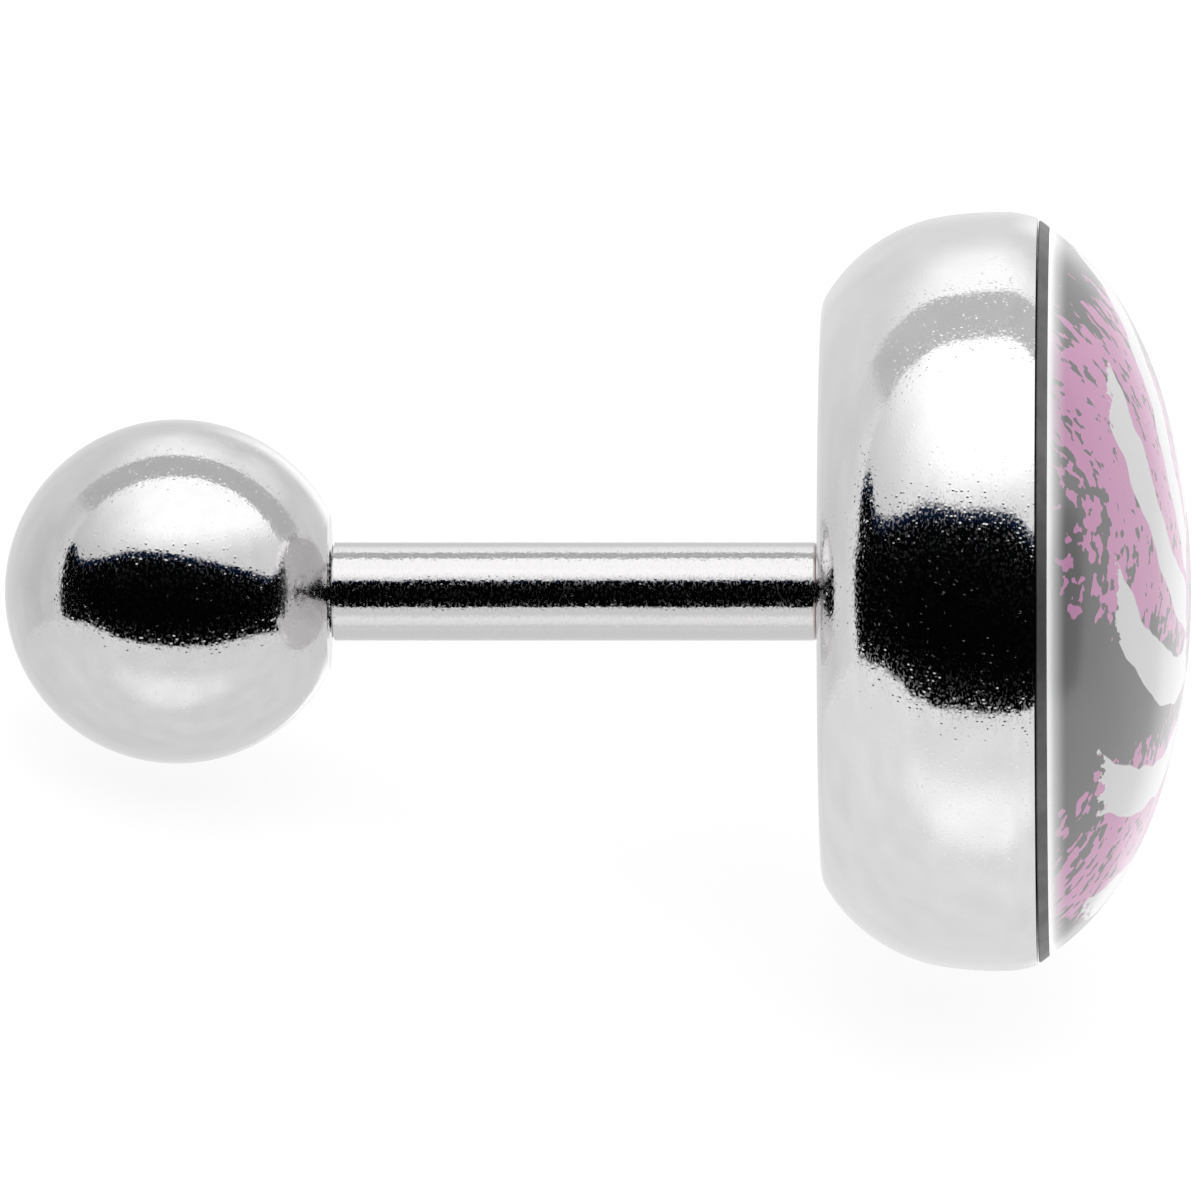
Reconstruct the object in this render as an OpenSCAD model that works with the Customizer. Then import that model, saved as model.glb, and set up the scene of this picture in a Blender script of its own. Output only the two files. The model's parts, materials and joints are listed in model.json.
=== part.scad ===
// Tragus stud: a post soldered to a round cup with a glossy picture dome,
// closed by a screw-on ball. It lies on its ball and cup as it rests on a table.

/* [Post] */
// Diameter of the post, 16 gauge
post_d = 1.2; // [1.0:0.1:1.6]
// Wearable length, from the back of the cup to the face of the ball
post_len = 6; // [5:0.5:10]
// Bevel at each end of the post
post_bevel = 0.05; // [0.02:0.01:0.08]
// Length of the solder fillet between the post and the cup
solder_len = 0.04; // [0.03:0.01:0.1]
// How far that fillet spreads past the post on the back of the cup
solder_spread = 0.04; // [0.02:0.01:0.1]

/* [Screw end] */
// Diameter of the screw end at the middle of its thread, inside the ball
stub_d = 0.86; // [0.7:0.02:0.88]
// Length of the screw end
stub_len = 1.8; // [1.2:0.1:2.2]
// Bevel at the tip of the screw end
stub_bevel = 0.12; // [0.05:0.01:0.2]
// Radial clearance between the screw end and the hole in the ball
screw_gap = 0.03; // [0.02:0.01:0.08]
// Space left beyond the tip, at the bottom of the hole
hole_spare = 0.2; // [0.1:0.05:0.4]

/* [Ball] */
// Diameter of the ball
ball_d = 4.2; // [3.8:0.1:5]
// Diameter across the corners of the flat face that meets the post
ball_face_d = 1.9; // [1.6:0.1:2.2]
// Seam left between the ball and the end of the post
seam = 0.03; // [0.02:0.01:0.05]

/* [Cup and dome] */
// Widest diameter of the cup
head_d = 9.25; // [8.5:0.05:10]
// Depth of the cup, from its back to its rim
cup_depth = 2.63; // [2.5:0.01:2.8]
// Thickness of the picture disc where it shows
disc_t = 0.13; // [0.1:0.01:0.2]
// Diameter of the seat sunk into the front of the cup
seat_d = 7.6; // [6:0.1:8]
// Depth of that seat
seat_depth = 0.9; // [0.3:0.1:1.2]
// Height of the dome above the picture disc
dome_h = 1.7; // [1.5:0.05:1.9]
// Seam between the cup, the picture disc and the dome
bond = 0.02; // [0.01:0.01:0.03]

/* [Hidden] */
$fn = 96;

// Round outlines, each a chain of tangent arcs from the back to the front.
// Columns: radius as a share of head_d, angle at which the arc ends, from straight out.
// The cup's arcs are its back edge, shoulder, side and lip, which its rim cuts off.
CUP_ARCS = [[0.0486, -58], [0.2227, -8], [0.492, 1], [0.1243, 60]];
SHOULDER = 1;
LIP = 3;
// The dome's arcs are its edge, which its base cuts off, its haunch and its crown.
DOME_ARCS = [[0.33, 60], [0.54, 74], [0.908, 90]];
EDGE = 0;
CROWN = 2;
FACING_BACK = -90;
STRAIGHT_OUT = 0;
FACING_FRONT = 90;

// Largest turn between two points of an outline, in degrees
arc_step = 2.5;
// How far a cut runs past the face that it opens
over = 1;

post_r = post_d / 2;
stub_r = stub_d / 2;
ball_r = ball_d / 2;
head_r = head_d / 2;
stub_tip = -post_len - stub_len;
seat_floor = cup_depth - seat_depth;
disc_base = cup_depth + bond;
dome_base = disc_base + disc_t + bond;
dome_top = dome_base + dome_h;

// Unit vector in a section, whose x is the distance from the axis and y the way along it
function towards(angle) = [cos(angle), sin(angle)];
function radius(arc) = arc[0] * head_d;

// Centres of a chain of tangent arcs, the first one at c
function chain(arcs, c, i = 0) =
    i == len(arcs) - 1 ? [c]
    : let (step = radius(arcs[i]) - radius(arcs[i + 1]))
        concat([c], chain(arcs, c + step * towards(arcs[i][1]), i + 1));
function moved(points, by) = [for (p = points) p + by];

// Number of the arc whose stretch holds a direction
function arc_at(arcs, angle, i = 0) = angle <= arcs[i][1] ? i : arc_at(arcs, angle, i + 1);

// How far a chain reaches in a direction of the section
function reach(arcs, centres, angle) =
    let (i = arc_at(arcs, angle)) centres[i] * towards(angle) + radius(arcs[i]);

// Point where an arc crosses a plane square to the axis
function crossing(arc, centre, along) =
    [centre[0] + sqrt(pow(radius(arc), 2) - pow(along - centre[1], 2)), along];
function angle_of(point, centre) = atan2(point[1] - centre[1], point[0] - centre[0]);

// Points of an arc from one angle to another, without the last one
function arc_points(centre, r, from, to) =
    let (n = ceil((to - from) / arc_step), step = (to - from) / n)
        [for (k = [0 : n - 1]) centre + r * towards(from + k * step)];

// Points of a chain of arcs between two angles, without the last one
function chain_points(arcs, centres, first, last, i = 0) =
    i == len(arcs) ? []
    : let (to = i == len(arcs) - 1 ? last : arcs[i][1])
        concat(
            arc_points(centres[i], radius(arcs[i]), first, to),
            chain_points(arcs, centres, to, last, i + 1));

// The cup's chain starts tangent to its flat back and is head_r wide
cup_loose = chain(CUP_ARCS, [0, radius(CUP_ARCS[0])]);
cup_c = moved(cup_loose, [head_r - reach(CUP_ARCS, cup_loose, STRAIGHT_OUT), 0]);
cup_rim = crossing(CUP_ARCS[LIP], cup_c[LIP], cup_depth);

// The dome's chain ends on the axis, at dome_top
dome_loose = chain(DOME_ARCS, [0, 0]);
dome_c = moved(dome_loose, [0, dome_top - radius(DOME_ARCS[CROWN])] - dome_loose[CROWN]);
dome_rim = crossing(DOME_ARCS[EDGE], dome_c[EDGE], dome_base);

// The disc lies between the rims of the cup and the dome
disc_r = (cup_rim[0] + dome_rim[0]) / 2;

// The ball's centre, where its face cuts it to the stated width
ball_c = -post_len - sqrt(pow(ball_r, 2) - pow(ball_face_d / 2, 2));

// Lying down: the axis rises towards the dome by the tilt at which both the ball and the
// shoulder of the cup touch the table
shoulder_c = cup_c[SHOULDER];
shoulder_r = radius(CUP_ARCS[SHOULDER]);
tilt = asin((shoulder_r - ball_r) / norm([shoulder_c[1] - ball_c, shoulder_c[0]]))
    + atan2(shoulder_c[0], shoulder_c[1] - ball_c);
axis_z = ball_r - ball_c * sin(tilt);
left_x = ball_c * cos(tilt) - ball_r;
right_x = reach(DOME_ARCS, dome_c, FACING_FRONT - tilt);
axis_x = -(left_x + right_x) / 2;

// Solid turned from a section and laid down in its place
module turned() {
    translate([axis_x, 0, axis_z]) rotate([0, 90 - tilt, 0]) rotate_extrude() children();
}

// Section of a round bar between two places on the axis
module bar_section(r, from, to) {
    translate([0, from]) square([r, to - from]);
}

module cup_section() {
    difference() {
        polygon(concat(
            chain_points(CUP_ARCS, cup_c, FACING_BACK, angle_of(cup_rim, cup_c[LIP])),
            [cup_rim, [0, cup_depth], [0, 0]]));
        bar_section(seat_d / 2, seat_floor, cup_depth + over);
    }
}

// The solder fillet widens evenly from the bevel, through the back of the cup to its root
module post_section() {
    end = -post_len + seam;
    groove_r = post_r - post_bevel;
    root_r = groove_r + 2 * (post_bevel + solder_spread);
    polygon([
        [0, solder_len], [root_r, solder_len],
        [groove_r, -solder_len], [post_r, -solder_len - post_bevel],
        [post_r, end + post_bevel], [post_r - post_bevel, end], [stub_r, end],
        [stub_r, stub_tip + stub_bevel], [stub_r - stub_bevel, stub_tip], [0, stub_tip]
    ]);
}

module post_and_cup() {
    color("silver") {
        turned() cup_section();
        turned() post_section();
    }
}

module picture_disc() {
    plug_r = seat_d / 2 - bond;
    color("dimgray") turned() {
        bar_section(disc_r, disc_base, disc_base + disc_t);
        bar_section(plug_r, seat_floor + bond, disc_base + disc_t);
    }
}

module dome() {
    color("plum") turned() polygon(concat(
        chain_points(DOME_ARCS, dome_c, angle_of(dome_rim, dome_c[EDGE]), FACING_FRONT),
        [[0, dome_top], [0, dome_base]]));
}

module ball() {
    color("silver") turned() difference() {
        intersection() {
            translate([0, ball_c]) circle(ball_r);
            bar_section(ball_r, ball_c - ball_r, -post_len);
        }
        bar_section(stub_r + screw_gap, stub_tip - hole_spare, -post_len + over);
    }
}

post_and_cup();
picture_disc();
dome();
ball();
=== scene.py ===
"""Looks for a tragus stud: a post soldered to a cup with a picture dome, closed by a screw-on ball."""

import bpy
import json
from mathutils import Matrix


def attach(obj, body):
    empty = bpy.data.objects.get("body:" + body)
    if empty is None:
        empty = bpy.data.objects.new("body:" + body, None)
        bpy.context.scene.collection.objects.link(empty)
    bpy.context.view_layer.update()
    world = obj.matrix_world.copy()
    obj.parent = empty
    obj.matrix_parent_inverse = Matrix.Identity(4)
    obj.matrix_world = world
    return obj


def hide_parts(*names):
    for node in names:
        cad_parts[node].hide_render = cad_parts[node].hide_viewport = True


bl_info = {
    "name": "Tragus stud",
    "version": (1, 0, 0),
    "blender": (4, 5, 0),
    "location": "View3D > Sidebar > Stud",
    "description": "Dresses the packed solids of a tragus stud in steel and a printed dome",
    "category": "Object",
}

import functools
import json
import math

import bmesh
import bpy
from bpy.props import FloatProperty, FloatVectorProperty, IntProperty, PointerProperty
from mathutils import Euler, Matrix, Vector

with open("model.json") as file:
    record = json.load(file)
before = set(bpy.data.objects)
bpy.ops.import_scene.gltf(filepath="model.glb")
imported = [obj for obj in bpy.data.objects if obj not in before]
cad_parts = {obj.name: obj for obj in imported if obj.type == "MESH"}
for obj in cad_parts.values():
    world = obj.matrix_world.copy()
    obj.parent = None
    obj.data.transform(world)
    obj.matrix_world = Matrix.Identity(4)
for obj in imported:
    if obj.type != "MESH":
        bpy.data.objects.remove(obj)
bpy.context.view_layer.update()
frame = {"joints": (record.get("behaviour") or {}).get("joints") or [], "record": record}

MM = 0.001

# The stud's axis, from its ball to its dome, and the place on it level with the back of the cup.
# The mount's point lies halfway along the post.
UNSCREW = frame["joints"][0]
EAR_POST = next(m for m in frame["record"]["mounts"] if m["name"] == "ear_post")
AXIS = Vector(UNSCREW["axis"]).normalized()
TILT = math.asin(AXIS.z)
POST_LENGTH = 6.0
CUP_BACK = Vector(EAR_POST["pos_m"]) + AXIS * POST_LENGTH / 2 * MM
TURNED_TO_AXIS = Euler((0, math.pi / 2 - TILT, 0))

# Pieces are turned in millimetres about their own z axis, which starts at the back of the cup
PLACE = Matrix.LocRotScale(CUP_BACK, TURNED_TO_AXIS, (MM, MM, MM))

# Largest turn between two points of an arc, points on a rounded corner, and the angle between
# two faces from which their edge is drawn sharp
ARC_STEP = math.radians(1.5)
CORNER_STEPS = 8
EDGE_ANGLE = math.radians(24)

# In millimetres: the seam between the ball and the end of the post, how far the base of a thread
# is sunk into its piece, and the distance within which two points are one
BALL_SEAM = 0.03
THREAD_SUNK = 0.01
MERGED = 0.0001

# Round outlines, each a chain of tangent arcs from the back to the front: radius as a share of
# the cup's width, and the angle at which the arc ends, from straight out, in degrees.
CUP_ARCS = ((0.0486, -58), (0.2227, -8), (0.492, 1), (0.1243, 60))
DOME_ARCS = ((0.33, 60), (0.54, 74), (0.908, 90))

# How far the print is turned on the dome
PRINT_TURN = math.radians(33)

# Broad sweeps of a dry brush: how far each is turned, in degrees, its place along and across that
# turn, and its half width and half length, in millimetres
SWEEPS = (
    (12, (2.75, 1.8), 1.9, 1.15),
    (-10, (0.25, 2.3), 2.0, 1.3),
    (18, (-2.2, 1.9), 2.0, 1.15),
    (24, (0.2, -2.1), 1.6, 2.3),
)

# Edges of the dark opening in the light tent, as seen from the stud: (turn, height) in degrees,
# turned from the camera towards the dome, and up
OPENING_TOP = (
    (-90, 11), (-84, 22), (-79, 28), (-73, 20), (-65, 17), (-54, 20), (-40, 24), (-25, 26), (-10, 26),
    (5, 25), (20, 22), (35, 18), (50, 13), (60, 9), (69, 8), (77, 14), (83, 20), (90, 8),
)
FLOOR_EDGE = (
    (-90, -13), (-80, -14), (-70, -17), (-60, -20), (-50, -25), (-40, -30), (-25, -34), (-10, -37),
    (8, -38), (25, -36), (40, -33), (52, -29), (62, -25), (72, -22), (82, -21), (90, -15),
)
OPENING_ENDS = (-84, 88)
# Half the width of a blurred edge in the light, in degrees
SOFT = 0.9
# Light that the opening's upper edge adds to red, green and blue
NAVY = (0.005, 0.014, 0.045)


# Properties


def length(name, description, millimetres):
    """A length that the user may change, shown in the scene's units."""
    return FloatProperty(
        name=name, description=description, default=millimetres * MM, min=0, unit="LENGTH", precision=6
    )


def tone(name, description, colour):
    """A colour that the user may change."""
    return FloatVectorProperty(
        name=name, description=description, default=colour, min=0, max=1, size=3, subtype="COLOR"
    )


class StudSizes(bpy.types.PropertyGroup):
    """Sizes of the turned pieces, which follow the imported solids"""

    post_width: length("Post diameter", "Diameter of the post, 16 gauge", 1.2)
    ball_width: length("Ball diameter", "Diameter of the screw-on ball", 4.2)
    ball_face: length("Ball face", "Diameter of the flat face that meets the post", 1.9)
    screw_length: length("Screw length", "Length of the screw end inside the ball", 1.8)
    screw_width: length("Screw diameter", "Diameter over the crests of the thread", 0.9)
    screw_root: length("Screw root", "Diameter at the bottom of the thread", 0.68)
    hole_width: length("Hole diameter", "Diameter of the hole in the ball", 0.92)
    pitch: length("Thread pitch", "Distance from one turn of the thread to the next", 0.225)
    cup_width: length("Cup diameter", "Widest diameter of the cup", 9.25)
    cup_depth: length("Cup depth", "From the back of the cup to its rim", 2.63)
    disc_thickness: length("Disc thickness", "Thickness of the picture disc where it shows", 0.13)
    seat_width: length("Seat diameter", "Diameter of the seat in the front of the cup", 7.6)
    seat_depth: length("Seat depth", "Depth of that seat", 0.9)
    dome_height: length("Dome height", "Height of the dome above the picture disc", 1.72)
    seam: length("Seam", "Gap left between the cup and the picture disc", 0.02)
    turn_steps: IntProperty(
        name="Turning steps", description="Facets round each turned piece", default=256, min=48, max=320
    )


class StudFinish(bpy.types.PropertyGroup):
    """Colours and polish of the stud"""

    steel: tone("Cup steel", "Colour of the cup's polished steel", (0.765, 0.755, 0.761))
    ball: tone("Ball steel", "Colour of the ball's polished steel", (0.674, 0.665, 0.67))
    wire: tone("Wire", "Colour of the drawn post", (0.62, 0.61, 0.617))
    solder: tone("Solder tint", "Heat tint beside the solder", (0.30, 0.17, 0.10))
    disc: tone("Disc edge", "Colour of the dark edge of the picture disc", (0.20, 0.20, 0.203))
    ground: tone("Print ground", "Grey ground of the print", (0.215, 0.215, 0.215))
    pink: tone("Print pink", "Dry-brushed pink of the print", (0.76, 0.37, 0.61))
    stroke: tone("Print stroke", "Off-white brush strokes of the print", (0.86, 0.86, 0.86))
    # Painted sheen: white laid into the print at the dome's base, where the dome's edge whitens in the
    # light
    border: tone("Print border", "White border of the print", (0.98, 0.98, 0.98))
    polish: FloatProperty(
        name="Steel roughness", description="Roughness of the polished steel", default=0.03, min=0, max=1
    )
    grain: length("Steel grain", "Height of the fine ripple left by polishing", 0.0018)


class StudStage(bpy.types.PropertyGroup):
    """Camera and light"""

    camera_lift: FloatProperty(
        name="Camera lift",
        description="How far the camera is turned up round the stud's axis",
        default=math.radians(33),
        subtype="ANGLE",
    )
    camera_side: FloatProperty(
        name="Camera side step",
        description="How far the camera is turned towards the dome",
        default=math.radians(1.8),
        subtype="ANGLE",
    )
    lens: FloatProperty(name="Lens", description="Focal length in millimetres", default=600, min=20)
    field: length("Field", "Width of the picture at the stud", 14.634)
    panel: FloatProperty(
        name="Panel light", description="Brightness of the front panel", default=1.5, min=0
    )
    floor_glow: FloatProperty(
        name="Floor glow", description="Light that the floor adds", default=0.86, min=0
    )


# Node graphs


class Number:
    """A number on a socket. Arithmetic on it adds Math nodes."""

    def __init__(self, graph, socket):
        self.graph, self.socket = graph, socket

    def math(self, operation, *values):
        node = self.graph.add("ShaderNodeMath", {"operation": operation}, dict(enumerate(values)))
        return Number(self.graph, node.outputs[0])

    def __add__(self, other):
        return self.math("ADD", self, other)

    def __sub__(self, other):
        return self.math("SUBTRACT", self, other)

    def __rsub__(self, other):
        return self.math("SUBTRACT", other, self)

    def __mul__(self, other):
        return self.math("MULTIPLY", self, other)

    def __truediv__(self, other):
        return self.math("DIVIDE", self, other)

    def __pow__(self, other):
        return self.math("POWER", self, other)

    def __gt__(self, other):
        return self.math("GREATER_THAN", self, other)

    def __lt__(self, other):
        return self.math("LESS_THAN", self, other)

    def __abs__(self):
        return self.math("ABSOLUTE", self)

    __radd__, __rmul__ = __add__, __mul__

    def sin(self):
        return self.math("SINE", self)

    def cos(self):
        return self.math("COSINE", self)

    def root(self):
        return self.math("SQRT", self)

    def whole(self):
        return self.math("FLOOR", self)

    def least(self, other):
        return self.math("MINIMUM", self, other)

    def most(self, other):
        return self.math("MAXIMUM", self, other)

    def step(self, low, high):
        """0 below low, 1 above high and smooth between them."""
        node = self.graph.add(
            "ShaderNodeMapRange",
            {"interpolation_type": "SMOOTHSTEP"},
            {"Value": self, "From Min": low, "From Max": high},
        )
        return Number(self.graph, node.outputs[0])


class Graph:
    """A node tree under construction."""

    def __init__(self, tree):
        self.tree = tree
        tree.nodes.clear()

    def add(self, kind, settings=None, sockets=None):
        """Adds a node, makes its settings, then sets or links its inputs by name or number."""
        node = self.tree.nodes.new(kind)
        for name, value in (settings or {}).items():
            if name == "stops":
                self.set_stops(node.color_ramp, value)
            else:
                setattr(node, name, value)
        for name, value in (sockets or {}).items():
            socket = node.inputs[name]
            if isinstance(value, Number):
                value = value.socket
            if isinstance(value, bpy.types.Node):
                value = value.outputs[0]
            if isinstance(value, bpy.types.NodeSocket):
                self.tree.links.new(value, socket)
            else:
                socket.default_value = value
        return node

    @staticmethod
    def set_stops(ramp, stops):
        ramp.interpolation = "B_SPLINE"
        while len(ramp.elements) < len(stops):
            ramp.elements.new(1)
        for element, (place, value) in zip(ramp.elements, stops):
            element.position, element.color = place, (value, value, value, 1)

    def number(self, kind, settings=None, sockets=None, output=0):
        return Number(self, self.add(kind, settings, sockets).outputs[output])

    def vector(self, operation, *values):
        return self.add("ShaderNodeVectorMath", {"operation": operation}, dict(enumerate(values)))

    def dot(self, vector, fixed):
        return Number(self, self.vector("DOT_PRODUCT", vector, fixed).outputs["Value"])

    def parts(self, vector):
        node = self.add("ShaderNodeSeparateXYZ", None, {0: vector})
        return [Number(self, output) for output in node.outputs]

    def joined(self, x, y, z):
        return self.add("ShaderNodeCombineXYZ", None, {0: x, 1: y, 2: z})

    def noise(self, vector, scale, detail, roughness=0.5):
        return self.number(
            "ShaderNodeTexNoise",
            None,
            {"Vector": vector, "Scale": scale, "Detail": detail, "Roughness": roughness},
        )

    def bump(self, distance, height):
        """Normal of a surface with a fine relief."""
        return self.add(
            "ShaderNodeBump", None, {"Strength": 1.0, "Distance": distance, "Height": height}
        )

    def mix(self, factor, colour_a, colour_b):
        """Mix of two colours, each a socket or three numbers."""
        a, b = [(*c, 1) if isinstance(c, tuple) else c for c in (colour_a, colour_b)]
        node = self.add("ShaderNodeMix", {"data_type": "RGBA"}, {"Factor": factor, 6: a, 7: b})
        return node.outputs[2]


def own_place(graph):
    """Place on the stud in millimetres, with z along its axis from the back of the cup."""
    coordinates = graph.add("ShaderNodeTexCoord").outputs["Object"]
    return graph.add(
        "ShaderNodeMapping",
        {"vector_type": "TEXTURE"},
        {
            "Vector": coordinates,
            "Location": CUP_BACK,
            "Rotation": tuple(TURNED_TO_AXIS),
            "Scale": (MM, MM, MM),
        },
    ).outputs[0]


def new_material(name):
    material = bpy.data.materials.new(name)
    material.use_nodes = True
    return material, Graph(material.node_tree)


def surface(graph, sockets):
    """Ends a material with one shader, whose sockets are set or linked."""
    shader = graph.add("ShaderNodeBsdfPrincipled", None, sockets)
    graph.add("ShaderNodeOutputMaterial", None, {"Surface": shader})


def shade(colour, share=1.0):
    """A colour of the finish as three numbers, made darker by a share."""
    return tuple(share * part for part in colour)


# Finishes


def polished_steel(name, finish, colour, drawn_radius=0.0):
    """Mirror-polished steel, with the ripple, dull specks, pits and smears that polishing leaves.

    Within drawn_radius of the axis it is drawn wire, whose ripple is coarser.
    """
    material, graph = new_material(name)
    place = own_place(graph)
    x, y, along = graph.parts(place)
    from_axis = (x * x + y * y).root()
    drawn = 1 - from_axis.step(drawn_radius, drawn_radius + 0.02)

    # Polishing runs round the stud, so its marks are narrower along the axis
    narrowed = graph.vector("MULTIPLY", place, (1.0, 1.0, 1.7))
    grain = graph.noise(narrowed, scale=15.0, detail=1.0)
    dull = graph.noise(narrowed, scale=24.0, detail=0.0).step(0.45, 0.68)
    waves = graph.noise(place, scale=1.1, detail=0.0)
    smear = graph.noise(place, scale=0.9, detail=2.0, roughness=0.6).step(0.35, 0.75)

    # One pit in each cell, most of them shallow
    pit_radius, rarity = 0.46, 4
    cells = graph.add("ShaderNodeTexVoronoi", {"feature": "F1"}, {"Vector": place, "Scale": 21.0})
    depth = graph.parts(cells.outputs["Color"])[0] ** rarity
    pit = (1 - Number(graph, cells.outputs["Distance"]) / pit_radius).most(0.0) * depth

    # The heat tint is a ring on the post beside the solder
    ring_start, ring_end = (-0.085, -0.065), (-0.045, -0.03)
    heat = along.step(*ring_start) * (1 - along.step(*ring_end)) * drawn

    base = graph.mix(smear, shade(colour), shade(colour, 0.965))
    base = graph.mix(drawn, base, shade(finish.wire))

    # Heights are multiples of the finish's grain
    height = grain * (0.32 + drawn * 0.88) + waves * 6.0 + pit * 1.5
    dullness = dull * (0.13 + drawn * 0.07)
    surface(
        graph,
        {
            "Base Color": graph.mix(heat * 0.85, base, shade(finish.solder)),
            "Metallic": 1.0,
            "Roughness": finish.polish + smear * 0.02 + dullness + heat * 0.12,
            "Normal": graph.bump(finish.grain, height),
        },
    )
    return material


def dark_metal(name, finish):
    """Dark satin edge of the picture disc, with lines left by turning."""
    material, graph = new_material(name)
    place = own_place(graph)
    x, y, along = graph.parts(place)
    round_about = graph.joined(x * 2.0, y * 2.0, along * 60.0)
    lines = graph.noise(round_about, scale=1.0, detail=3.0, roughness=0.6)
    blotch = graph.noise(place, scale=3.0, detail=3.0, roughness=0.6)
    surface(
        graph,
        {
            "Base Color": graph.mix(blotch.step(0.3, 0.7), shade(finish.disc), shade(finish.disc, 0.8)),
            "Metallic": 1.0,
            "Roughness": 0.4 + blotch * 0.12,
            "Normal": graph.bump(finish.grain * 0.5, lines),
        },
    )
    return material


def dry_brush(graph, u, v, turn, offset, half_width, half_length):
    """Mask of one broad sweep of a dry brush, with flecks in it and streaks at its ends."""
    c, s = math.cos(turn), math.sin(turn)
    along = u * c + v * s - offset[0]
    across = v * c - u * s - offset[1]

    # Both patterns are drawn out along the sweep
    streaks = graph.joined(along * 1.2, across * 4.5, offset[1])
    flecks = graph.joined(along * 5.5, across * 10.0, offset[0])
    streak = graph.noise(streaks, scale=1.0, detail=2.0, roughness=0.6) - 0.5
    fleck = graph.noise(flecks, scale=1.0, detail=1.5, roughness=0.6) - 0.5

    # The ink thins towards the sides and ends, where more of the patterns shows
    full, ends_share, streak_share, fleck_share = 0.36, 1.2, 1.8, 2.8
    sides = 1 - abs(across) / half_width
    ends = 1 - abs(along) / half_length
    ink = sides.least(ends * ends_share).least(full) * 1.6
    return (ink + streak * streak_share + fleck * fleck_share).step(0.30, 0.34)


def pinwheel(out, angle, wobble, fray):
    """Mask of bold brush strokes that wind out from the middle, each of its own length."""
    arms, curl, turned = 9, -0.34, 0.3
    first, last, shorter = 1.0, 4.2, 0.65
    half_width, unsteady, frayed, blur = 0.29, 0.35, 0.4, 0.008
    share = arms / math.tau
    place = (angle + out * curl) * share + turned
    arm = place.whole()
    off = abs(place - arm - 0.5) * out / share / (1 + (out * curl) ** 2).root()
    reach = last - abs((arm * 2.3).sin()) * shorter
    ends = (out - first).least(reach - out) + (fray - 0.5) * frayed
    width = half_width + (wobble - 0.5) * unsteady
    return (width - off).least(ends * 0.6).step(-blur, blur)


def printed_dome(name, finish, dome_base):
    """Print of brushed strokes over dry-brushed pink on grey, under a clear gloss, with painted sheen
    and a painted glow at the dome's base.
    """
    material, graph = new_material(name)
    place = own_place(graph)
    down, right, along = graph.parts(place)
    c, s = math.cos(PRINT_TURN), math.sin(PRINT_TURN)
    v = right * s - down * c
    u = 0 - (right * c + down * s)
    wobble = graph.noise(place, scale=1.6, detail=1.5)
    fray = graph.noise(place, scale=7.0, detail=2.0, roughness=0.6)
    ripple = graph.noise(place, scale=0.8, detail=1.0)

    sweeps = [dry_brush(graph, v, u, math.radians(turn), *shape) for turn, *shape in SWEEPS]
    pink = functools.reduce(Number.most, sweeps)
    out = (u * u + v * v).root()
    strokes = pinwheel(out, v.math("ARCTAN2", v, u), wobble, fray)

    # The white border is painted sheen that fades out up the dome, and its lowest part glows with
    # painted light, as if it caught the light inside the dome
    sheen_start, sheen_end, lit_end, light = 0.01, 0.24, 0.1, 0.26
    border = 1 - along.step(dome_base + sheen_start, dome_base + sheen_end)
    lit = (1 - along.step(dome_base, dome_base + lit_end)) * light

    inked = graph.mix(pink, shade(finish.ground), shade(finish.pink))
    stroked = graph.mix(strokes, inked, shade(finish.stroke))
    surface(
        graph,
        {
            # The white border mixed in here is painted sheen, not part of the print
            "Base Color": graph.mix(border, stroked, shade(finish.border)),
            "Roughness": 0.15 + fray * 0.04,
            "IOR": 1.85,
            "Normal": graph.bump(finish.grain * 0.35, ripple),
            # Painted glow: an emission along the dome's base that stands in for light caught inside the
            # dome
            "Emission Color": graph.joined(lit, lit, lit),
            "Emission Strength": 1.0,
        },
    )
    # The painted glow at the rim is too faint to be worth lighting the scene by
    material.cycles.emission_sampling = "NONE"
    return material


# Trees of geometry nodes


def new_tree(name, inputs):
    """An empty geometry tree with named inputs, and its Graph, its inputs as sockets."""
    tree = bpy.data.node_groups.new(name, "GeometryNodeTree")
    tree.interface.new_socket("Geometry", in_out="INPUT", socket_type="NodeSocketGeometry")
    for title, kind in inputs.items():
        tree.interface.new_socket(title, in_out="INPUT", socket_type="NodeSocket" + kind)
    tree.interface.new_socket("Geometry", in_out="OUTPUT", socket_type="NodeSocketGeometry")
    graph = Graph(tree)
    given = graph.add("NodeGroupInput")
    sockets = {o.name: o for o in given.outputs if o.name}
    return tree, graph, sockets


def close_tree(graph, geometry, material):
    """Ends a tree: merged where rows meet, with no instances left and its material set."""
    merged = graph.add("GeometryNodeMergeByDistance", None, {0: geometry, "Distance": MERGED})
    real = graph.add("GeometryNodeRealizeInstances", None, {0: merged})
    smooth = graph.add("GeometryNodeSetShadeSmooth", None, {0: real})
    finished = graph.add("GeometryNodeSetMaterial", None, {0: smooth, "Material": material})
    graph.add("NodeGroupOutput", None, {0: finished})


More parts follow.
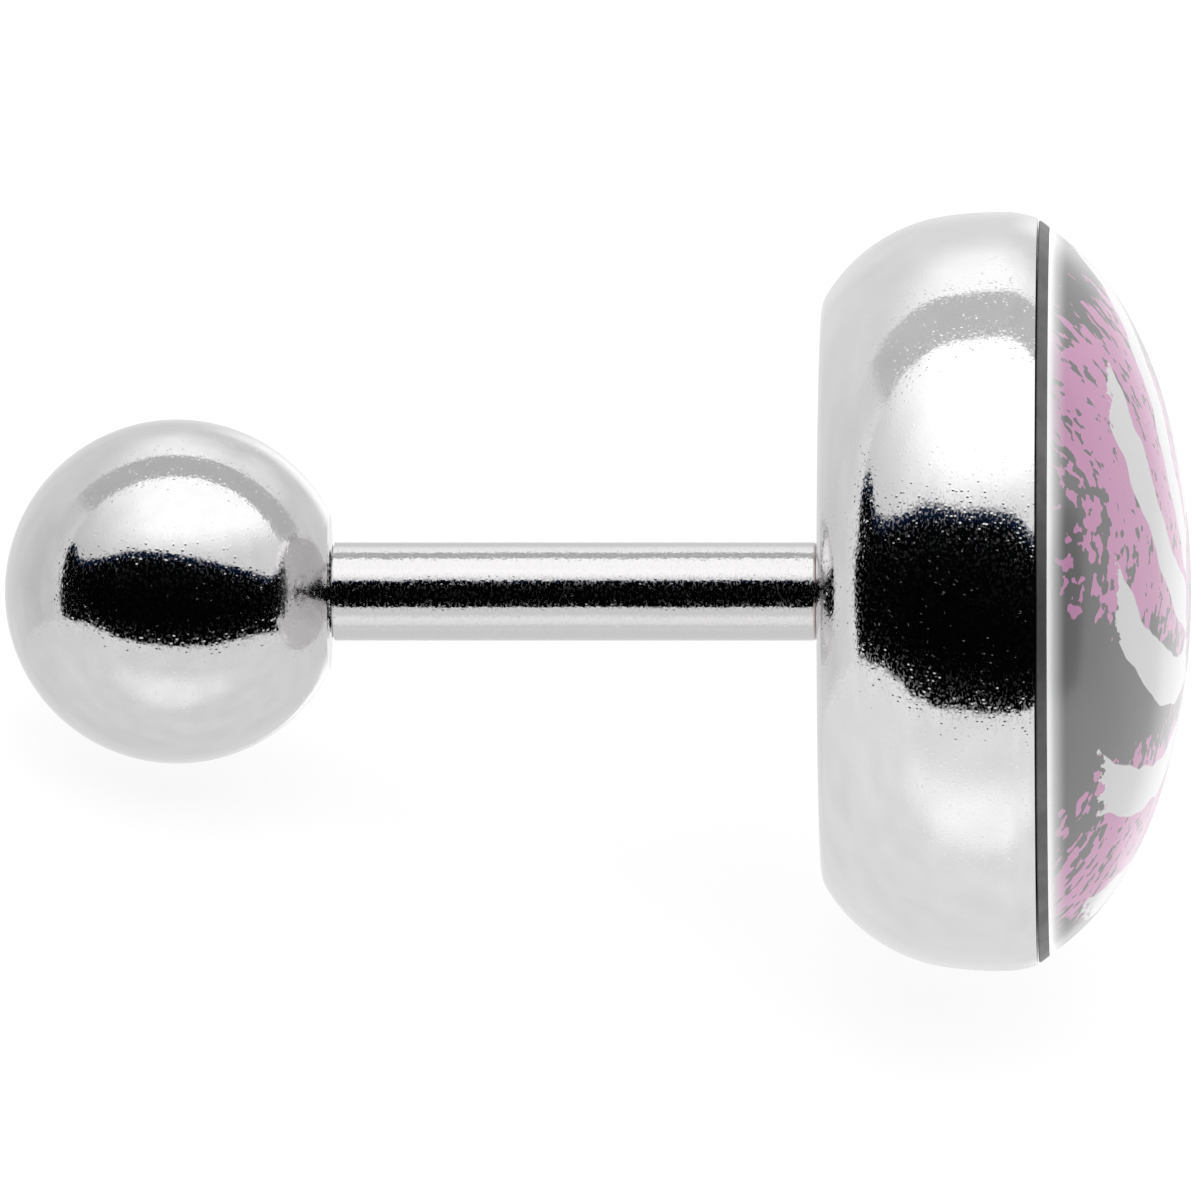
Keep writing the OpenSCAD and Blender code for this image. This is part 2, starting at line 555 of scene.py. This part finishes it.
def lathe_tree():
    """Turns a section, whose points run from the axis and back to it, round the z axis."""
    tree, graph, given = new_tree("Lathe", {"Steps": "Int", "Material": "Material"})
    section = given["Geometry"]
    count = graph.number("GeometryNodeAttributeDomainSize", {"component": "MESH"}, {0: section})
    steps = Number(graph, given["Steps"])
    rows = steps + 1
    grid = graph.add("GeometryNodeMeshGrid", None, {"Vertices X": count, "Vertices Y": rows})
    index = graph.number("GeometryNodeInputIndex")
    rounding = 0.0001
    point = (index / rows + rounding).whole()
    turn = (index - point * rows) / steps * math.tau
    position = graph.add("GeometryNodeInputPosition")
    sampled = graph.add(
        "GeometryNodeSampleIndex",
        {"data_type": "FLOAT_VECTOR", "domain": "POINT"},
        {"Geometry": section, "Value": position, "Index": point},
    )
    radius, _, along = graph.parts(sampled)
    placed = graph.joined(radius * turn.cos(), radius * turn.sin(), along)
    turned = graph.add("GeometryNodeSetPosition", None, {0: grid.outputs["Mesh"], "Position": placed})
    close_tree(graph, turned, given["Material"])
    return tree


def thread_tree():
    """A screw thread: one ridge that winds round the z axis and runs out at both ends."""
    tree, graph, given = new_tree(
        "Screw thread",
        {
            "Start": "Float",
            "Turns": "Float",
            "Pitch": "Float",
            "Base Radius": "Float",
            "Crest Radius": "Float",
            "Base Width": "Float",
            "Crest Width": "Float",
            "Run-out": "Float",
            "Steps per Turn": "Int",
            "Material": "Material",
        },
    )
    start, turns, pitch, base, crest, base_width, crest_width, run_out, steps = (
        Number(graph, given[name]) for name in list(given)[1:10]
    )
    corners = 4
    grid = graph.add(
        "GeometryNodeMeshGrid",
        None,
        {
            "Size X": 1.0,
            "Size Y": 1.0,
            "Vertices X": (turns * steps).whole() + 1,
            "Vertices Y": corners + 1,
        },
    )
    x, y, _ = graph.parts(graph.add("GeometryNodeInputPosition"))
    turn = (x + 0.5) * turns
    corner = (y + 0.5) * corners
    on_crest = (corner > 0.5) * (corner < 2.5)
    side = (corner > 2.5) * (corner < 3.5) * 2 - 1
    fade = (turn / run_out).least((turns - turn) / run_out).least(1.0).most(0.0)
    offset = on_crest * (corner - 1.5) * crest_width + (1 - on_crest) * side * base_width * 0.5
    radius = base + (crest - base) * on_crest * fade
    along = start + pitch * turn + offset * fade
    angle = turn * math.tau
    placed = graph.joined(radius * angle.cos(), radius * angle.sin(), along)
    wound = graph.add("GeometryNodeSetPosition", None, {0: grid.outputs["Mesh"], "Position": placed})
    close_tree(graph, wound, given["Material"])
    return tree


def shared_tree(build, name):
    return bpy.data.node_groups.get(name) or build()


def made_by_tree(name, points, tree, inputs):
    """A plain mesh that a tree makes from a chain of section points, laid in its place on the stud."""
    section = bpy.data.meshes.new(name + "_section")
    section.from_pydata(
        [(r, 0, along) for r, along in points], [(i, i + 1) for i in range(len(points) - 1)], []
    )
    piece = bpy.data.objects.new(name, section)
    bpy.context.scene.collection.objects.link(piece)
    modifier = piece.modifiers.new(tree.name, "NODES")
    modifier.node_group = tree
    for item in tree.interface.items_tree:
        if item.in_out == "INPUT" and item.name in inputs:
            modifier[item.identifier] = inputs[item.name]
    depsgraph = bpy.context.evaluated_depsgraph_get()
    mesh = bpy.data.meshes.new_from_object(piece.evaluated_get(depsgraph))
    piece.modifiers.remove(modifier)
    piece.data = mesh
    bpy.data.meshes.remove(section)
    mesh.name = name
    finish = mesh.materials[-1]
    mesh.materials.clear()
    mesh.materials.append(finish)
    mesh.polygons.foreach_set("material_index", [0] * len(mesh.polygons))
    outward(mesh)
    mesh.transform(PLACE)
    mesh.set_sharp_from_angle(angle=EDGE_ANGLE)
    return piece


def outward(mesh):
    """Points the faces of a closed mesh outwards, and stops if it isn't closed."""
    work = bmesh.new()
    work.from_mesh(mesh)
    bmesh.ops.recalc_face_normals(work, faces=work.faces)
    open_edges = [e for e in work.edges if len(e.link_faces) != 2]
    if work.calc_volume(signed=True) < 0:
        bmesh.ops.reverse_faces(work, faces=work.faces)
    work.to_mesh(mesh)
    work.free()
    if open_edges:
        raise RuntimeError("%s has %d open edges" % (mesh.name, len(open_edges)))


# Sections, in millimetres


def towards(angle):
    """Unit vector of a section, in which x is the distance from the axis and y the way along it."""
    return Vector((math.cos(angle), math.sin(angle)))


def arc(centre, radius, first, last):
    """Points of an arc between two angles, both ends included."""
    count = max(2, math.ceil(abs(last - first) / ARC_STEP))
    return [centre + radius * towards(first + (last - first) * k / count) for k in range(count + 1)]


def chained(arcs, width):
    """Centres, radii and end angles of a chain of tangent arcs, the first centre at the origin."""
    centre, out = Vector((0, 0)), []
    for i, (share, end) in enumerate(arcs):
        out.append([centre.copy(), share * width, math.radians(end)])
        if i + 1 < len(arcs):
            centre = centre + (share - arcs[i + 1][0]) * width * towards(math.radians(end))
    return out


def chain_points(chain, first, last):
    """Points along a chain of arcs between two angles."""
    points = []
    for i, (centre, radius, end) in enumerate(chain):
        end = last if i == len(chain) - 1 else end
        points += arc(centre, radius, first, end)[1 if i else 0:]
        first = end
    return points


def cup_chain(width):
    """The cup's arcs: tangent to its flat back at 0, and as wide as the cup."""
    chain = chained(CUP_ARCS, width)
    (_, back_radius, _), _, (side, side_radius, _), _ = chain
    shift = Vector((width / 2 - side.x - side_radius, back_radius))
    for part in chain:
        part[0] += shift
    return chain


def dome_chain(width, top):
    """The dome's arcs, which end on the axis at top."""
    chain = chained(DOME_ARCS, width)
    crown, crown_radius, _ = chain[-1]
    shift = Vector((-crown.x, top - crown_radius - crown.y))
    for part in chain:
        part[0] += shift
    return chain


def cut_level(part, along):
    """Angle at which an arc crosses a plane square to the axis."""
    centre, radius, _ = part
    return math.asin((along - centre.y) / radius)


def eased(corners):
    """Chain of corners (radius, along, easing), each rounded by its easing.

    A further point just beside each rounding keeps the shading of the straight stretches level.
    """
    points, beside = [], 0.3
    for i, corner in enumerate(corners):
        here = Vector(corner[:2])
        ease = corner[2] if len(corner) > 2 else 0
        if not ease:
            points.append(here)
            continue
        before = (Vector(corners[i - 1][:2]) - here).normalized()
        after = (Vector(corners[i + 1][:2]) - here).normalized()
        half = before.angle(after) / 2
        centre = here + (before + after).normalized() * ease / math.sin(half)
        cut = ease / math.tan(half)
        first = here + before * cut - centre
        turn = math.pi - 2 * half
        turn = turn if first.x * after.y - first.y * after.x > 0 else -turn
        start = math.atan2(first.y, first.x)
        points.append(here + before * (cut + beside * ease))
        points += [
            centre + ease * towards(start + turn * k / CORNER_STEPS) for k in range(CORNER_STEPS + 1)
        ]
        points.append(here + after * (cut + beside * ease))
    return points


class Levels:
    """Places along the axis and radii that several sections share, in millimetres."""

    def __init__(self, sizes):
        for name in StudSizes.__annotations__:
            value = getattr(sizes, name)
            setattr(self, name, value if name == "turn_steps" else value / MM)
        self.disc_base = self.cup_depth + self.seam
        self.dome_base = self.disc_base + self.disc_thickness
        self.dome_top = self.dome_base + self.dome_height
        self.cup = cup_chain(self.cup_width)
        self.dome = dome_chain(self.cup_width, self.dome_top)
        self.cup_rim = cut_level(self.cup[-1], self.cup_depth)
        self.dome_rim = cut_level(self.dome[0], self.dome_base)
        self.cup_rim_r = self.cup[-1][0].x + self.cup[-1][1] * math.cos(self.cup_rim)
        self.dome_rim_r = self.dome[0][0].x + self.dome[0][1] * math.cos(self.dome_rim)
        self.screw_tip = -POST_LENGTH - self.screw_length


def post_and_cup_section(at):
    """From the screw's tip along the post, round the cup and into its seat."""
    post_r, root_r, end = at.post_width / 2, at.screw_root / 2, BALL_SEAM - POST_LENGTH
    bevel, fillet, spread = 0.05, 0.04, 0.04
    tip_in, tip_back = 0.06, 0.12
    screw_ease, bevel_ease, groove_ease, solder_ease, seat_ease = 0.02, 0.025, 0.006, 0.015, 0.05
    flat_middle, flat_end = at.cup_width * 0.3, at.cup[0][0].x - 0.02
    post = eased(
        [
            (0, at.screw_tip),
            (root_r - tip_in, at.screw_tip, screw_ease),
            (root_r, at.screw_tip + tip_back, screw_ease),
            (root_r, end, screw_ease),
            (post_r, end, screw_ease),
            (post_r, -fillet - bevel, bevel_ease),
            (post_r - bevel, -fillet, groove_ease),
            (post_r + spread, 0, solder_ease),
            (flat_middle, 0),
            (flat_end, 0),
        ]
    )
    side = chain_points(at.cup, -math.pi / 2, at.cup_rim)
    floor = at.cup_depth - at.seat_depth
    seat_r = at.seat_width / 2
    seat = eased(
        [
            tuple(side[-1]),
            (seat_r, at.cup_depth, seat_ease),
            (seat_r, floor, seat_ease),
            (0, floor),
        ]
    )
    return post + side + seat[1:]


def disc_section(at):
    """The plug in the cup's seat and the flange whose edge slants from the cup's rim to the dome's."""
    plug_r = at.seat_width / 2 - at.seam
    plug = at.cup_depth - at.seat_depth + at.seam
    hairline = 0.006
    back, front = at.disc_base, at.dome_base - hairline
    plug_ease, back_ease, front_ease = 0.05, 0.008, 0.012
    set_back, set_out = 0.014, 0.012
    return eased(
        [
            (0, plug),
            (plug_r, plug, plug_ease),
            (plug_r, back),
            (at.cup_rim_r - set_back, back, back_ease),
            (at.dome_rim_r + set_out, front, front_ease),
            (0, front),
        ]
    )


def dome_section(at):
    """From the middle of the dome's base round its edge to its top."""
    outside = chain_points(at.dome, at.dome_rim, math.pi / 2)
    outside[-1].x = 0
    rim, beside = outside[0], 0.02
    return [Vector((0, at.dome_base)), Vector((rim.x - beside, rim.y))] + outside


def ball_section(at):
    """From the far side of the ball round to its face, and down its blind hole."""
    radius, face_r, hole_r = at.ball_width / 2, at.ball_face / 2, at.hole_width / 2
    middle = Vector((0, -POST_LENGTH - math.sqrt(radius**2 - face_r**2)))
    corner = math.atan2(-POST_LENGTH - middle.y, face_r)
    short_of_corner = math.radians(2)
    outside = arc(middle, radius, -math.pi / 2, corner - short_of_corner)
    outside[0].x = 0
    bevel, beyond_tip = 0.06, 0.2
    corner_ease, bevel_ease = 0.05, 0.015
    bottom = -POST_LENGTH - at.screw_length - beyond_tip
    return outside[:-1] + eased(
        [
            tuple(outside[-1]),
            (face_r, -POST_LENGTH, corner_ease),
            (hole_r + bevel, -POST_LENGTH, bevel_ease),
            (hole_r, -POST_LENGTH - bevel, bevel_ease),
            (hole_r, bottom, corner_ease),
            (0, bottom),
        ]
    )


# Operators


def settings():
    scene = bpy.context.scene
    return Levels(scene.stud_sizes), scene.stud_finish


def turned_piece(name, points, at, material):
    tree = shared_tree(lathe_tree, "Lathe")
    return made_by_tree(name, points, tree, {"Steps": at.turn_steps, "Material": material})


def thread_piece(name, at, material, base_r, crest_r, shift=0.0):
    """One ridge of thread, on the screw or in its hole."""
    tree = shared_tree(thread_tree, "Screw thread")
    bare_end, base_share, crest_share, run_out = 0.1, 0.72, 0.12, 0.6
    return made_by_tree(
        name,
        [(0, 0), (1, 0)],
        tree,
        {
            "Start": at.screw_tip + bare_end + shift,
            "Turns": (at.screw_length - 2 * bare_end) / at.pitch,
            "Pitch": at.pitch,
            "Base Radius": base_r,
            "Crest Radius": crest_r,
            "Base Width": at.pitch * base_share,
            "Crest Width": at.pitch * crest_share,
            "Run-out": run_out,
            "Steps per Turn": 48,
            "Material": material,
        },
    )


class STUD_OT_post_and_cup(bpy.types.Operator):
    """Turn the post with its screw end and the soldered cup"""

    bl_idname = "stud.post_and_cup"
    bl_label = "Post and cup"

    def execute(self, context):
        at, finish = settings()
        just_past = 0.01
        drawn_radius = at.post_width / 2 + just_past
        steel = polished_steel("polished_steel", finish, finish.steel, drawn_radius)
        body = turned_piece("post_and_cup_steel", post_and_cup_section(at), at, steel)
        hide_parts("post_and_cup")
        base_r, crest_r = at.screw_root / 2 - THREAD_SUNK, at.screw_width / 2
        thread = thread_piece("screw_thread", at, steel, base_r, crest_r)
        for piece in (body, thread):
            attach(piece, "stud")
        return {"FINISHED"}


class STUD_OT_picture_disc(bpy.types.Operator):
    """Turn the picture disc, whose dark edge shows between the cup and the dome"""

    bl_idname = "stud.picture_disc"
    bl_label = "Picture disc"

    def execute(self, context):
        at, finish = settings()
        metal = dark_metal("dark_disc", finish)
        disc = turned_piece("picture_disc_metal", disc_section(at), at, metal)
        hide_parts("picture_disc")
        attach(disc, "stud")
        return {"FINISHED"}


class STUD_OT_dome(bpy.types.Operator):
    """Turn the glossy dome and print it"""

    bl_idname = "stud.dome"
    bl_label = "Printed dome"

    def execute(self, context):
        at, finish = settings()
        material = printed_dome("printed_dome", finish, at.dome_base)
        dome = turned_piece("dome_print", dome_section(at), at, material)
        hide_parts("dome")
        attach(dome, "stud")
        return {"FINISHED"}


class STUD_OT_ball(bpy.types.Operator):
    """Turn the screw-on ball and cut the thread in its hole"""

    bl_idname = "stud.ball"
    bl_label = "Screw-on ball"

    def execute(self, context):
        at, finish = settings()
        steel = polished_steel("ball_steel", finish, finish.ball)
        ball = turned_piece("ball_steel_shell", ball_section(at), at, steel)
        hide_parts("ball")
        clearance = 0.02
        base_r, crest_r = at.hole_width / 2 + THREAD_SUNK, at.screw_root / 2 + clearance
        thread = thread_piece("hole_thread", at, steel, base_r, crest_r, at.pitch / 2)
        for piece in (ball, thread):
            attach(piece, "ball")
        return {"FINISHED"}


def camera_frame(stage):
    """Unit vectors of the picture: to its right, upwards, and from the stud to the camera."""
    above = Vector((-math.sin(TILT), 0, math.cos(TILT)))
    back = Vector((0, -1, 0)) * math.cos(stage.camera_lift) + above * math.sin(stage.camera_lift)
    side = stage.camera_side
    right = AXIS * math.cos(side) - back * math.sin(side)
    back = back * math.cos(side) + AXIS * math.sin(side)
    return right, back.cross(right), back


def edge_line(graph, turn, stops):
    """Height of an edge in degrees all the way across the front, from stops of (turn, height)."""
    first, across = -90.0, 180.0
    low, span = -45.0, 90.0
    ramp = graph.add(
        "ShaderNodeValToRGB",
        {"stops": [((side - first) / across, (height - low) / span) for side, height in stops]},
        {"Fac": (turn - first) / across},
    )
    return Number(graph, ramp.outputs[0]) * span + low


def floor_light(x, y, z):
    """Light of the floor, a little brighter towards the camera, with a bright patch before the stud."""
    far, nearer, brighter = 0.88, 0.06, 0.24
    middle_x, middle_z, reach_x, reach_z = -0.02, 0.30, 0.6, 0.25
    off_patch = ((x - middle_x) / reach_x) ** 2 + ((z - middle_z) / reach_z) ** 2
    patch = (1 - off_patch.step(0.0, 1.3)) * (y < 0)
    return far + z.step(-0.8, -0.2) * nearer + patch * brighter


def panel_light(stage, x, lift):
    """Light of the panel in front, which is dim past the ball, even lower down and full higher up."""
    dim, even = 0.75, 0.92
    beside_ball = x.step(-0.9, -0.65)
    high = x.step(-0.8, -0.2) * lift.step(20, 44)
    return dim + beside_ball * (even - dim) + high * (stage.panel - even)


def rear_light(x, y, z):
    """Light from behind the stud, with glows overhead, high on the dome's side and behind the dome."""
    dim, even, overhead_glow, high_glow, dome_glow = 0.76, 0.86, 0.5, 0.2, 0.45
    past_ball = x.step(-0.95, -0.7)
    overhead = (y - abs(x) * 0.25).step(0.6, 1.0)
    high = x.step(0.3, 0.5) * y.step(0.56, 0.72)
    behind_dome = x.step(0.03, 0.25) * (1 - z.step(-0.92, -0.75))
    level = dim + past_ball * (even - dim) + overhead * overhead_glow
    return level + high * high_glow + behind_dome * dome_glow


def light_tent(stage):
    """Soft light by direction: a bright panel over a dark opening, and pale walls, seam and floor."""
    world = bpy.data.worlds.new("light_tent")
    bpy.context.scene.world = world
    world.use_nodes = True
    graph = Graph(world.node_tree)
    direction = graph.add("ShaderNodeTexCoord").outputs["Generated"]
    x, y, z = (graph.dot(direction, tuple(axis)) for axis in camera_frame(stage))
    degree = 180 / math.pi
    wander = 3
    turn = z.math("ARCTAN2", x, z) * degree
    folds = graph.noise(direction, scale=6.0, detail=0.5)
    lift = y.math("ARCSINE", y) * degree + (folds - 0.5) * wander

    first, last = OPENING_ENDS
    over_opening = lift - edge_line(graph, turn, OPENING_TOP)
    over_floor = (lift - edge_line(graph, turn, FLOOR_EDGE)).step(-SOFT, SOFT)
    in_front = (turn - first).step(-SOFT, SOFT) * (1 - (turn - last).step(-SOFT, SOFT))
    dark = over_floor * (1 - over_opening.step(-SOFT, SOFT)) * in_front

    # The seam is a band that crosses overhead from side to side, between the panel and the rear
    seam_front, seam_back, seam_blur, seam_light = 0.10, -0.24, 0.012, 0.63
    ball_side, dome_side = 43, 26
    ahead = (z - seam_front).step(-seam_blur, seam_blur)
    behind = 1 - (z - seam_back).step(-seam_blur, seam_blur)
    seam_foot = (turn > 0) * (dome_side - ball_side) + ball_side
    seam = (1 - ahead) * (1 - behind) * (lift - seam_foot).step(-3, 3)

    # Walls, panel, rear, seam and floor are laid over one another, and folds cloud them all
    wall, brighter, unlit = 0.80, 0.12, 0.001
    level = wall + (90 - abs(turn)).step(-6, 8) * brighter
    level = level + ahead * (panel_light(stage, x, lift) - level)
    level = level + behind * (rear_light(x, y, z) - level)
    level = level + seam * (seam_light - level)
    floor = floor_light(x, y, z)
    level = (floor + over_floor * (level - floor)) * (0.92 + folds * 0.16)
    level = level * (1 - dark) + dark * unlit
    tinge = dark * over_opening.step(-6, 0)

    backdrop = 1.05
    colour = graph.joined(*(level + tinge * part for part in NAVY))
    lit = graph.add("ShaderNodeBackground", None, {"Color": colour})
    plain = graph.add("ShaderNodeBackground", None, {"Color": (1, 1, 1, 1), "Strength": backdrop})
    seen = graph.add("ShaderNodeLightPath").outputs["Is Camera Ray"]
    mixed = graph.add("ShaderNodeMixShader", None, {"Fac": seen, 1: lit, 2: plain})
    graph.add("ShaderNodeOutputWorld", None, {"Surface": mixed})


def pale_floor(stage):
    """A plain pale floor that the stud lies on, bright enough to print white."""
    radius = 400 * MM
    mesh = bpy.data.meshes.new("floor")
    work = bmesh.new()
    bmesh.ops.create_circle(work, cap_ends=True, segments=96, radius=radius)
    work.to_mesh(mesh)
    work.free()
    floor = bpy.data.objects.new("floor", mesh)
    bpy.context.scene.collection.objects.link(floor)
    floor.visible_glossy = False
    material, graph = new_material("floor")
    surface(
        graph,
        {
            "Base Color": (0.25, 0.25, 0.25, 1),
            "Roughness": 1.0,
            "Specular IOR Level": 0.0,
            "Emission Color": (1, 1, 1, 1),
            "Emission Strength": stage.floor_glow,
        },
    )
    mesh.materials.append(material)


def photo_camera(stage):
    """A long lens nearly square to the stud's axis, above the floor.

    The picture's middle lies between the ball and the cup, just below the axis.
    """
    from_cup, below_axis = 2.707 * MM, 0.104 * MM
    right, up, back = camera_frame(stage)
    camera = bpy.data.cameras.new("camera")
    camera.sensor_width, camera.lens = 36, stage.lens
    distance = stage.field * stage.lens / camera.sensor_width
    middle = CUP_BACK - AXIS * from_cup - up * below_axis
    mount = bpy.data.objects.new("camera", camera)
    bpy.context.scene.collection.objects.link(mount)
    turned = Matrix((right, up, back)).transposed()
    mount.matrix_world = Matrix.Translation(middle + back * distance) @ turned.to_4x4()
    camera.clip_start, camera.clip_end = distance * 0.1, distance * 10
    bpy.context.scene.camera = mount


class STUD_OT_stage(bpy.types.Operator):
    """Set up the floor, the light and the camera"""

    bl_idname = "stud.stage"
    bl_label = "Stage"

    def execute(self, context):
        stage = context.scene.stud_stage
        light_tent(stage)
        pale_floor(stage)
        photo_camera(stage)
        context.scene.view_settings.view_transform = "Standard"
        return {"FINISHED"}


OPERATORS = (
    STUD_OT_post_and_cup,
    STUD_OT_picture_disc,
    STUD_OT_dome,
    STUD_OT_ball,
    STUD_OT_stage,
)


class STUD_PT_panel(bpy.types.Panel):
    """Sizes, finishes and steps of the stud"""

    bl_idname = "STUD_PT_panel"
    bl_label = "Tragus stud"
    bl_space_type = "VIEW_3D"
    bl_region_type = "UI"
    bl_category = "Stud"

    def draw(self, context):
        for group in (context.scene.stud_sizes, context.scene.stud_finish, context.scene.stud_stage):
            column = self.layout.column(align=True)
            for name in type(group).__annotations__:
                column.prop(group, name)
        for operator in OPERATORS:
            self.layout.operator(operator.bl_idname)


GROUPS = {"stud_sizes": StudSizes, "stud_finish": StudFinish, "stud_stage": StudStage}


def register():
    for cls in (*GROUPS.values(), *OPERATORS, STUD_PT_panel):
        bpy.utils.register_class(cls)
    for name, group in GROUPS.items():
        setattr(bpy.types.Scene, name, PointerProperty(type=group))


def unregister():
    for name in GROUPS:
        delattr(bpy.types.Scene, name)
    for cls in (STUD_PT_panel, *OPERATORS, *GROUPS.values()):
        bpy.utils.unregister_class(cls)


def main():
    register()
    for operator in OPERATORS:
        group, action = operator.bl_idname.split(".")
        getattr(getattr(bpy.ops, group), action)()


if __name__ == "__main__":
    main()
